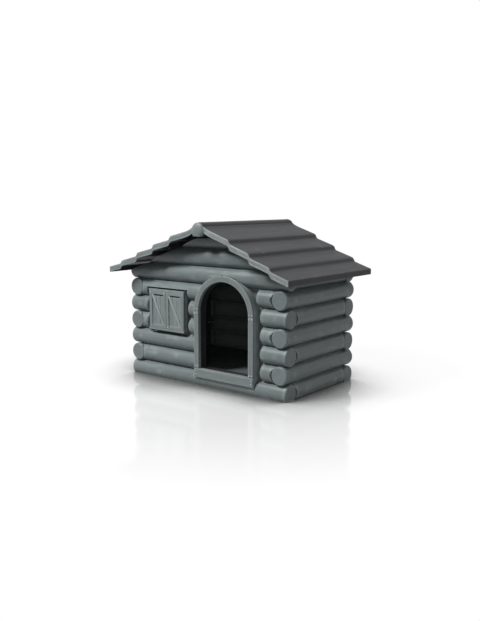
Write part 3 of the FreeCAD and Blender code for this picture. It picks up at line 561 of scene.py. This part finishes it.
def makeRidgeRoll():
    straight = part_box("ridge_log")[1][1] - ridgeRoll["domeDepth"]
    centre = (roofBoards["ridgeX"], 0, ridgeRoll["axisZ"])
    roll = addNew("ridgeRoll", bpy.ops.mesh.primitive_cylinder_add, vertices=ridgeRoll["sides"],
                  radius=ridgeRoll["radius"], depth=2 * straight, location=centre,
                  rotation=(math.radians(90), 0, 0))
    applyPlace()
    openMesh(roll)
    steps = ridgeRoll["domeSteps"]
    angles = [math.radians(ridgeRoll["domeAngle"]) * step / steps for step in range(steps + 1)]
    for end in (-1, 1):
        pick(roll, "FACE", lambda face: face.normal.y * end > squarely)
        for angle, following in zip(angles, angles[1:]):
            moveOut((0, end * ridgeRoll["domeDepth"] * (math.sin(following) - math.sin(angle)), 0))
            shrink = math.cos(following) / math.cos(angle)
            bpy.ops.transform.resize(value=(shrink, 1, shrink), center_override=centre)
    divideEdges(roll, lambda edge: span(edge, 1) > straight, ridgeRoll["rows"])
    bpy.ops.mesh.select_all(action="SELECT")
    bpy.ops.mesh.bisect(plane_co=(0, 0, ridgeRoll["cutZ"]), plane_no=(0, 0, 1), clear_inner=True)
    closeMesh()
    onRoll = markGroup(roll, "roll", lambda vert: True)
    onKnob = markGroup(roll, "knob", lambda vert: abs(vert.co.y) > straight - ridgeRoll["knobBack"])
    carve(roll, onRoll, ridgeRoll["stretch"], ridgeRoll["grain"], ridgeRoll["relief"])
    carve(roll, onKnob, ridgeRoll["knobStretch"], ridgeRoll["knobGrain"], ridgeRoll["knobRelief"])
    shapeWith(roll, "SOLIDIFY", thickness=ridgeRoll["skin"], offset=-1)
    # the roll takes the roof top's painted shade
    paint(roll, "paintedShadeRoofPlastic")
    paint(roll, "levelTrimPlastic", lambda face: abs(face.center.y) > straight + ridgeRoll["knobPaint"])
    settle(roll, "roof", ["ridge_log"])


# Log walls: the moulded panels, with an uneven hand-hewn surface outside, away from corners and ground
logWalls = {"cornerKept": 0.046, "footKept": 0.004, "hewnFrom": 0.006, "rowStep": 0.013, "relief": 0.0026,
            "reliefSize": 0.03, "alongStretch": 2.5, "inward": -0.05, "smoothAngle": 35}
wallPanels = {
    "front_wall": {"name": "logWallFront", "along": 0, "out": (0, -1, 0), "finish": "frontLogPlastic"},
    "rear_wall": {"name": "logWallRear", "along": 0, "out": (0, 1, 0), "finish": "frontLogPlastic"},
    "left_wall": {"name": "logWallLeft", "along": 1, "out": (-1, 0, 0), "finish": "sideLogPlastic"},
    "right_wall": {"name": "logWallRight", "along": 1, "out": (1, 0, 0), "finish": "sideLogPlastic"},
}
panelPlane = {0: 0.424, 1: 0.235}   # the wall logs' axes, in X and Y


def makeWall(node):
    panel = wallPanels[node]
    wall = copyOfNode(panel["name"], node)
    along = panel["along"]
    out = Vector(panel["out"])
    low, high = (corner[along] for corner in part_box(node))
    direction = [1 if axis == along else 0 for axis in range(3)]
    openMesh(wall)
    place = low + logWalls["rowStep"]
    while place < high - logWalls["rowStep"] / 2:
        bpy.ops.mesh.select_all(action="SELECT")
        bpy.ops.mesh.bisect(plane_co=[place * way for way in direction], plane_no=direction)
        place += logWalls["rowStep"]
    closeMesh()
    hewnFrom = panelPlane[1 - along] + logWalls["hewnFrom"]
    hewnEnd = panelPlane[along] - logWalls["cornerKept"]

    def isHewn(vert):
        onLog = vert.co.dot(out) > hewnFrom and abs(vert.co[along]) < hewnEnd
        return onLog and vert.co.z > logWalls["footKept"]

    def isInside(face):
        return abs(face.center[along]) < panelPlane[along] and face.normal.dot(out) < logWalls["inward"]

    outside = markGroup(wall, "outside", isHewn)
    stretch = [logWalls["alongStretch"] if axis == along else 1 for axis in range(3)]
    carve(wall, outside, stretch, logWalls["reliefSize"], logWalls["relief"])
    paint(wall, panel["finish"])
    # inside faces take a much lighter finish: painted light
    paint(wall, "paintedLightInsidePlastic", isInside)
    settle(wall, "cabin", [node], logWalls["smoothAngle"])
    shapeWith(wall, "WEIGHTED_NORMAL", keep_sharp=True, mode="FACE_AREA")


# Doorway trim: two jambs, a sill and an arch, with rounded edges and a shallow grain
doorTrim = {"centre": 0.126, "half": 0.142, "foot": 0.082, "spring": 0.345, "width": 0.0285, "faceY": -0.285,
            "thick": 0.008, "sillFoot": 0.040, "sillProud": 0.002, "round": 0.0032, "roundSteps": 4,
            "longEdge": 0.1, "wideEdge": 0.015, "cutsAcross": 9, "faceDepth": 0.0002, "grain": 0.005,
            "relief": 0.0008, "archSteps": 64, "jointGap": 0.0008, "endRound": 0.0012, "endSteps": 2}
trimBoards = {
    "door_jamb_left": {"name": "doorJambTrimLeft", "along": 2, "cutsAlong": 30, "stretch": (1, 1, 10),
                       "finish": "uprightTrimPlastic"},
    "door_jamb_right": {"name": "doorJambTrimRight", "along": 2, "cutsAlong": 30, "stretch": (1, 1, 10),
                        "finish": "uprightTrimPlastic"},
    "door_sill": {"name": "doorSillTrim", "along": 0, "cutsAlong": 40, "stretch": (10, 1, 1),
                  "finish": "levelTrimPlastic"},
}


def makeBoard(node):
    # a straight trim board in the place of its CAD node
    board = trimBoards[node]
    along, across = board["along"], 2 - board["along"]
    low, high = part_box(node)
    piece = addBlock(board["name"], low, high)
    openMesh(piece)
    roundEdges(piece, lambda edge: middle(edge).y < low[1] + hair, doorTrim["round"], doorTrim["roundSteps"])
    divideEdges(piece, lambda edge: span(edge, along) > doorTrim["longEdge"], board["cutsAlong"])
    divideEdges(piece, lambda edge: span(edge, across) > doorTrim["wideEdge"], doorTrim["cutsAcross"])
    closeMesh()
    onFace = markGroup(piece, "face", lambda vert: vert.co.y < low[1] + doorTrim["faceDepth"])
    carve(piece, onFace, board["stretch"], doorTrim["grain"], doorTrim["relief"])
    paint(piece, board["finish"])
    settle(piece, "cabin", [node])


def makeArch():
    middleRadius = doorTrim["half"] + doorTrim["width"] / 2
    middleY = doorTrim["faceY"] + doorTrim["thick"] / 2
    springLine = doorTrim["spring"] + doorTrim["jointGap"] / 2
    arch = addNew("doorArchTrim", bpy.ops.mesh.primitive_plane_add, size=1,
                  location=(doorTrim["centre"] + middleRadius, middleY, springLine))
    arch.scale = (doorTrim["width"], doorTrim["thick"], 1)
    applyPlace()
    openMesh(arch)
    pick(arch, "VERT", lambda vert: vert.co.y < middleY)
    bpy.ops.mesh.bevel(offset=doorTrim["round"], segments=doorTrim["roundSteps"], affect="VERTICES")
    bpy.ops.mesh.select_all(action="SELECT")
    lift = doorTrim["jointGap"] / (2 * middleRadius)
    bpy.ops.mesh.spin(steps=doorTrim["archSteps"], angle=math.pi - 2 * lift,
                      center=(doorTrim["centre"], middleY, doorTrim["spring"]), axis=(0, 1, 0))
    weld(nodeWeld)

    def atEnd(edge):
        return all(vert.co.z < springLine + 2 * hair for vert in edge.verts) and isSharp(edge)

    roundEdges(arch, atEnd, doorTrim["endRound"], doorTrim["endSteps"])
    closeMesh()
    paint(arch, "uprightTrimPlastic")
    settle(arch, "cabin", ["door_arch"])


# Doorway lining: the CAD casing, painted near black where it goes into the cabin as painted shade, its outer
# side painted lighter as painted light
doorLining = {"litDepth": 0.268, "reach": 0.006, "rim": 0.002}


def makeCasing():
    casing = copyOfNode("doorCasing", "door_casing")
    openMesh(casing)
    bpy.ops.mesh.bisect(plane_co=(0, -doorLining["litDepth"], 0), plane_no=(0, 1, 0))
    closeMesh()
    inner = doorTrim["half"] + doorLining["reach"]
    outer = doorTrim["half"] + doorTrim["width"] - doorLining["rim"]

    def fromMiddle(face):
        return math.hypot(face.center.x - doorTrim["centre"], max(0, face.center.z - doorTrim["spring"]))

    paint(casing, "uprightTrimPlastic")
    # painted shade: the lining deep in the doorway
    paint(casing, "paintedShadeLiningPlastic",
          lambda face: face.center.y > -doorLining["litDepth"] and fromMiddle(face) < inner)
    # painted light: the casing's outer side
    paint(casing, "paintedLightCasingSidePlastic",
          lambda face: fromMiddle(face) > outer and abs(face.normal.y) < mostly)
    settle(casing, "cabin", ["door_casing"])


# Nails: one domed head with a short shank, copied to the ends of the trim boards
trimNails = {"radius": 0.0038, "rise": 0.0022, "segments": 20, "shank": 0.0015, "grip": 0.010}


def nailSpots():
    mid = doorTrim["half"] + doorTrim["width"] / 2
    row = doorTrim["width"] / 4
    inset = doorTrim["width"] / 3
    face = doorTrim["faceY"]
    spots = []
    for side in (-1, 1):
        for offset in (-1, 1):
            x = doorTrim["centre"] + side * mid + offset * row
            spots.append((x, face, doorTrim["foot"] + inset))
            spots.append((x, face, doorTrim["spring"] - inset))
            over = math.sqrt((mid + side * offset * row) ** 2 - inset ** 2)
            spots.append((doorTrim["centre"] + side * over, face, doorTrim["spring"] + inset))
            height = (doorTrim["sillFoot"] + doorTrim["foot"]) / 2 + offset * row
            end = doorTrim["centre"] + side * (doorTrim["half"] + doorTrim["width"] - inset)
            spots.append((end, face - doorTrim["sillProud"], height))
    return spots


def makeNails():
    nail = addDome("trimNail", trimNails, 0)
    openMesh(nail)
    pick(nail, "FACE", lambda face: face.normal.y > squarely)
    bpy.ops.mesh.inset(thickness=trimNails["radius"] - trimNails["shank"])
    moveOut((0, trimNails["grip"], 0))
    closeMesh()
    nails = joined(copiesAt(nail, nailSpots()))
    nails.name = "trimNailHeads"
    paint(nails, "nailPlastic")
    settle(nails, "cabin", ["trim_nails"])


# Shutters: a framed leaf with three planks, a diagonal brace, a vent slot and studs
shutterLeaf = {"stile": 0.014, "sunk": 0.005, "groove": 0.0016, "grooveDepth": 0.0014, "planks": 3,
               "brace": 0.011, "braceThick": 0.0046, "braceSunk": 0.001, "braceShort": 0.002,
               "ventWide": 0.056, "ventHigh": 0.007, "ventBelow": 0.0005, "cutterPast": 0.01,
               "longEdge": 0.1, "hingeRound": 0.0058, "hingeSteps": 6, "hingeRoom": 0.006,
               "edgeRound": 0.0012, "edgeSteps": 2, "sharpAngle": 50, "frontNormal": -0.99}
shutterStuds = {"radius": 0.0026, "rise": 0.0014, "segments": 16, "sunk": 0.0004, "hingeRoom": 0.005}
shutterSides = {"left": -1, "right": 1}     # the side of the leaf that its hinge is on


def makeShutter(side):
    node = "shutter_" + side
    low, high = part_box(node)
    atLow, atHigh = (shutterSides[side] == way for way in (-1, 1))
    hingeX = low[0] if atLow else high[0]
    stile = shutterLeaf["stile"]
    fieldLow = (low[0] + stile + atLow * shutterLeaf["hingeRoom"], low[2] + stile)
    fieldHigh = (high[0] - stile - atHigh * shutterLeaf["hingeRoom"], high[2] - stile)
    wide, tall = fieldHigh[0] - fieldLow[0], fieldHigh[1] - fieldLow[1]
    groove = shutterLeaf["groove"] / 2
    seams = [fieldLow[0] + wide * share / shutterLeaf["planks"] for share in range(1, shutterLeaf["planks"])]

    def atHinge(edge):
        return span(edge, 2) > shutterLeaf["longEdge"] and abs(middle(edge).x - hingeX) < hair

    def isFront(face):
        return face.normal.y < shutterLeaf["frontNormal"]

    def inField(face):
        centre = face.calc_center_median()
        inside = fieldLow[0] < centre.x < fieldHigh[0] and fieldLow[1] < centre.z < fieldHigh[1]
        return inside and isFront(face)

    def inSeam(face):
        return inField(face) and any(abs(face.calc_center_median().x - x) < groove for x in seams)

    leaf = addBlock("shutter" + side.capitalize(), low, high)
    openMesh(leaf)
    roundEdges(leaf, atHinge, shutterLeaf["hingeRound"], shutterLeaf["hingeSteps"])
    columns = [fieldLow[0], fieldHigh[0]] + [x + way * groove for x in seams for way in (-1, 1)]
    cuts = [((x, 0, 0), (1, 0, 0)) for x in columns]
    cuts += [((0, 0, z), (0, 0, 1)) for z in (fieldLow[1], fieldHigh[1])]
    for place, direction in cuts:
        pick(leaf, "FACE", isFront)
        bpy.ops.mesh.bisect(plane_co=place, plane_no=direction)
    pick(leaf, "FACE", inField)
    moveOut((0, shutterLeaf["sunk"], 0))
    pick(leaf, "FACE", inSeam)
    moveOut((0, shutterLeaf["grooveDepth"], 0))
    closeMesh()

    centreX = (fieldLow[0] + fieldHigh[0]) / 2
    half, past = shutterLeaf["ventWide"] / 2, shutterLeaf["cutterPast"]
    cutter = addBlock("ventCutter", (centreX - half, low[1] - past, fieldHigh[1] - shutterLeaf["ventHigh"]),
                      (centreX + half, high[1] + past, fieldHigh[1] - shutterLeaf["ventBelow"]))
    shapeWith(leaf, "BOOLEAN", operation="DIFFERENCE", object=cutter, solver="EXACT")
    bpy.data.objects.remove(cutter)
    shapeWith(leaf, "BEVEL", width=shutterLeaf["edgeRound"], segments=shutterLeaf["edgeSteps"],
              limit_method="ANGLE", angle_limit=math.radians(shutterLeaf["sharpAngle"]))
    paint(leaf, "uprightTrimPlastic")

    thick = shutterLeaf["braceThick"] / 2
    centre = Vector((centreX, low[1] + shutterLeaf["braceSunk"] + thick, (fieldLow[1] + fieldHigh[1]) / 2))
    reach = Vector((math.hypot(wide, tall) / 2 - shutterLeaf["braceShort"], thick, shutterLeaf["brace"] / 2))
    brace = addBlock("brace", centre - reach, centre + reach)
    openMesh(brace)
    roundEdges(brace, isSharp, shutterLeaf["edgeRound"], shutterLeaf["edgeSteps"])
    bpy.ops.mesh.select_all(action="SELECT")
    bpy.ops.transform.rotate(value=-math.atan2(tall, wide), orient_axis="Y", center_override=centre)
    closeMesh()
    # the brace is painted lighter: a painted highlight
    paint(brace, "paintedHighlightBracePlastic")

    stud = addDome("shutterStud", shutterStuds, shutterStuds["sunk"])
    paint(stud, "nailPlastic")
    inset, room = stile / 2, shutterStuds["hingeRoom"]
    spots = [(x, low[1], z) for x in (low[0] + inset + atLow * room, high[0] - inset - atHigh * room)
             for z in (low[2] + inset, high[2] - inset)]
    leaf = joined([leaf, brace] + copiesAt(stud, spots))
    settle(leaf, side + "_shutter", [node])


# Window box: the CAD box with its outer edges rounded
windowBox = {"round": 0.002, "roundSteps": 3, "flatAngle": 2, "shortEdge": 0.02}


def makeWindowBox():
    box = copyOfNode("windowBox", "window_box")
    low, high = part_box("window_box")
    openMesh(box)
    bpy.ops.mesh.dissolve_limited(angle_limit=math.radians(windowBox["flatAngle"]))

    def onRim(edge):
        spot = middle(edge)
        rim = min(abs(spot[axis] - corner[axis]) for axis in (0, 2) for corner in (low, high))
        return rim < hair and isSharp(edge) and edge.calc_length() > windowBox["shortEdge"]

    roundEdges(box, onRim, windowBox["round"], windowBox["roundSteps"])
    closeMesh()
    paint(box, "uprightTrimPlastic")
    settle(box, "cabin", ["window_box"])


for side in roofSlopes:
    makeSlope(side)
makeRidgeRoll()
for node in wallPanels:
    makeWall(node)
for node in trimBoards:
    makeBoard(node)
makeArch()
makeCasing()
makeNails()
makeWindowBox()
for side in shutterSides:
    makeShutter(side)
print("pieces modelled")


# What stays as packed: hidden posts, floor and screws
nodeFinishes = {
    "floorPlastic": ["floor_tray", "post_front_left", "post_front_right", "post_rear_left",
                     "post_rear_right"],
    "zincSteel": ["floor_screws", "post_screws", "casing_screws", "window_screws", "ridge_screws",
                  "shutter_pins"],
}
for finish, names in nodeFinishes.items():
    for name in names:
        paint(nodes[name], finish)
print("frame nodes finished")


# Studio: white floor with a painted shadow around the kennel, soft key from the upper front left, weak fills
# from the right and from the camera
studio = {
    "floorSize": 30.0, "floorTone": 0.12, "floorGlow": 0.93, "floorGloss": 0.25, "floorGlossRough": 0.1,
    "paintedShadowReach": 0.42, "paintedShadowSamples": 12, "paintedShadowStops": [(0.55, 0.0), (0.93, 1.0)],
    "fadeStart": 0.8, "fadeEnd": 1.4, "worldFill": 0.17,
    "cameraPlace": (2.1525, -2.699, 0.840), "cameraPitch": 8.61, "cameraTurn": 38.59, "lens": 42.12,
    "sensorWidth": 36,
}
softboxes = {
    "key": {"place": (-1.215, -2.485, 3.32), "aim": (0, -0.1, 0.35), "size": 0.8, "power": 172},
    "fill": {"place": (3.0, -0.9, 1.1), "aim": (0.2, 0, 0.4), "size": 1.6, "power": 9},
    "front": {"place": (2.1, -2.65, 0.8), "aim": (0.12, -0.2, 0.25), "size": 0.8, "power": 3.2},
}


def seenDirectly(start):
    # 1 for what the camera sees, straight or in a mirror or through glass
    path = start.add("ShaderNodeLightPath")
    rays = path.socket.node.outputs
    seen = Wire(start.tree, rays["Is Camera Ray"]) + Wire(start.tree, rays["Is Glossy Ray"])
    return seen + Wire(start.tree, rays["Is Transmission Ray"])


def makeFloor():
    floor = addNew("studioFloor", bpy.ops.mesh.primitive_plane_add, size=studio["floorSize"])
    material, start = newMaterial("studioFloorWhite")
    seen = seenDirectly(start)
    matt = start.add("ShaderNodeBsdfDiffuse", None, {"Color": (studio["floorTone"],) * 3 + (1,)})
    # painted shadow: the floor's glow is cut where the kennel stands near
    nearby = shelter(start, studio["paintedShadowReach"], studio["paintedShadowSamples"])
    paintedShadow = ramp(start, nearby, studio["paintedShadowStops"])
    glow = start.add("ShaderNodeEmission", None, {"Color": seen * paintedShadow * studio["floorGlow"]})
    lit = start.add("ShaderNodeAddShader", None, {0: matt, 1: glow})
    gloss = start.add("ShaderNodeBsdfGlossy", None,
                      {"Color": (1, 1, 1, 1), "Roughness": studio["floorGlossRough"]})
    near = start.add("ShaderNodeMixShader", None, {0: studio["floorGloss"], 1: lit, 2: gloss})
    white = start.add("ShaderNodeEmission", None, {"Color": seen})
    distance = start.add("ShaderNodeVectorMath", {"operation": "LENGTH"}, {0: objectPlace(start)}, 1)
    reach = studio["fadeEnd"] - studio["fadeStart"]
    fade = ramp(start, (distance - studio["fadeStart"]) / reach, [(0.0, 0.0), (1.0, 1.0)])
    closeMaterial(start, start.add("ShaderNodeMixShader", None, {0: fade, 1: near, 2: white}))
    floor.data.materials.append(material)


def makeWorld():
    world = bpy.data.worlds.new("studioWorld")
    world.use_nodes = True
    world.node_tree.nodes.clear()
    start = Wire(world.node_tree)
    seen = seenDirectly(start)
    brightness = seen * (1 - studio["worldFill"]) + studio["worldFill"]
    sky = start.add("ShaderNodeBackground", None, {"Color": brightness})
    start.add("ShaderNodeOutputWorld", None, {"Surface": sky})
    bpy.context.scene.world = world


def makeSoftbox(name):
    look = softboxes[name]
    place, aim = Vector(look["place"]), Vector(look["aim"])
    bpy.ops.object.light_add(type="AREA", location=place)
    lamp = bpy.context.object
    lamp.name = name + "Softbox"
    lamp.data.shape = "RECTANGLE"
    lamp.data.size = lamp.data.size_y = look["size"]
    lamp.data.energy = look["power"]
    lamp.rotation_euler = (aim - place).to_track_quat("-Z", "Y").to_euler()


def makeCamera():
    bpy.ops.object.camera_add(location=studio["cameraPlace"])
    camera = bpy.context.object
    camera.rotation_euler = (math.radians(90 - studio["cameraPitch"]), 0, math.radians(studio["cameraTurn"]))
    camera.data.lens = studio["lens"]
    camera.data.sensor_width = studio["sensorWidth"]
    bpy.context.scene.camera = camera


makeFloor()
makeWorld()
for name in softboxes:
    makeSoftbox(name)
makeCamera()
bpy.context.scene.view_settings.view_transform = "Standard"
print("studio ready")
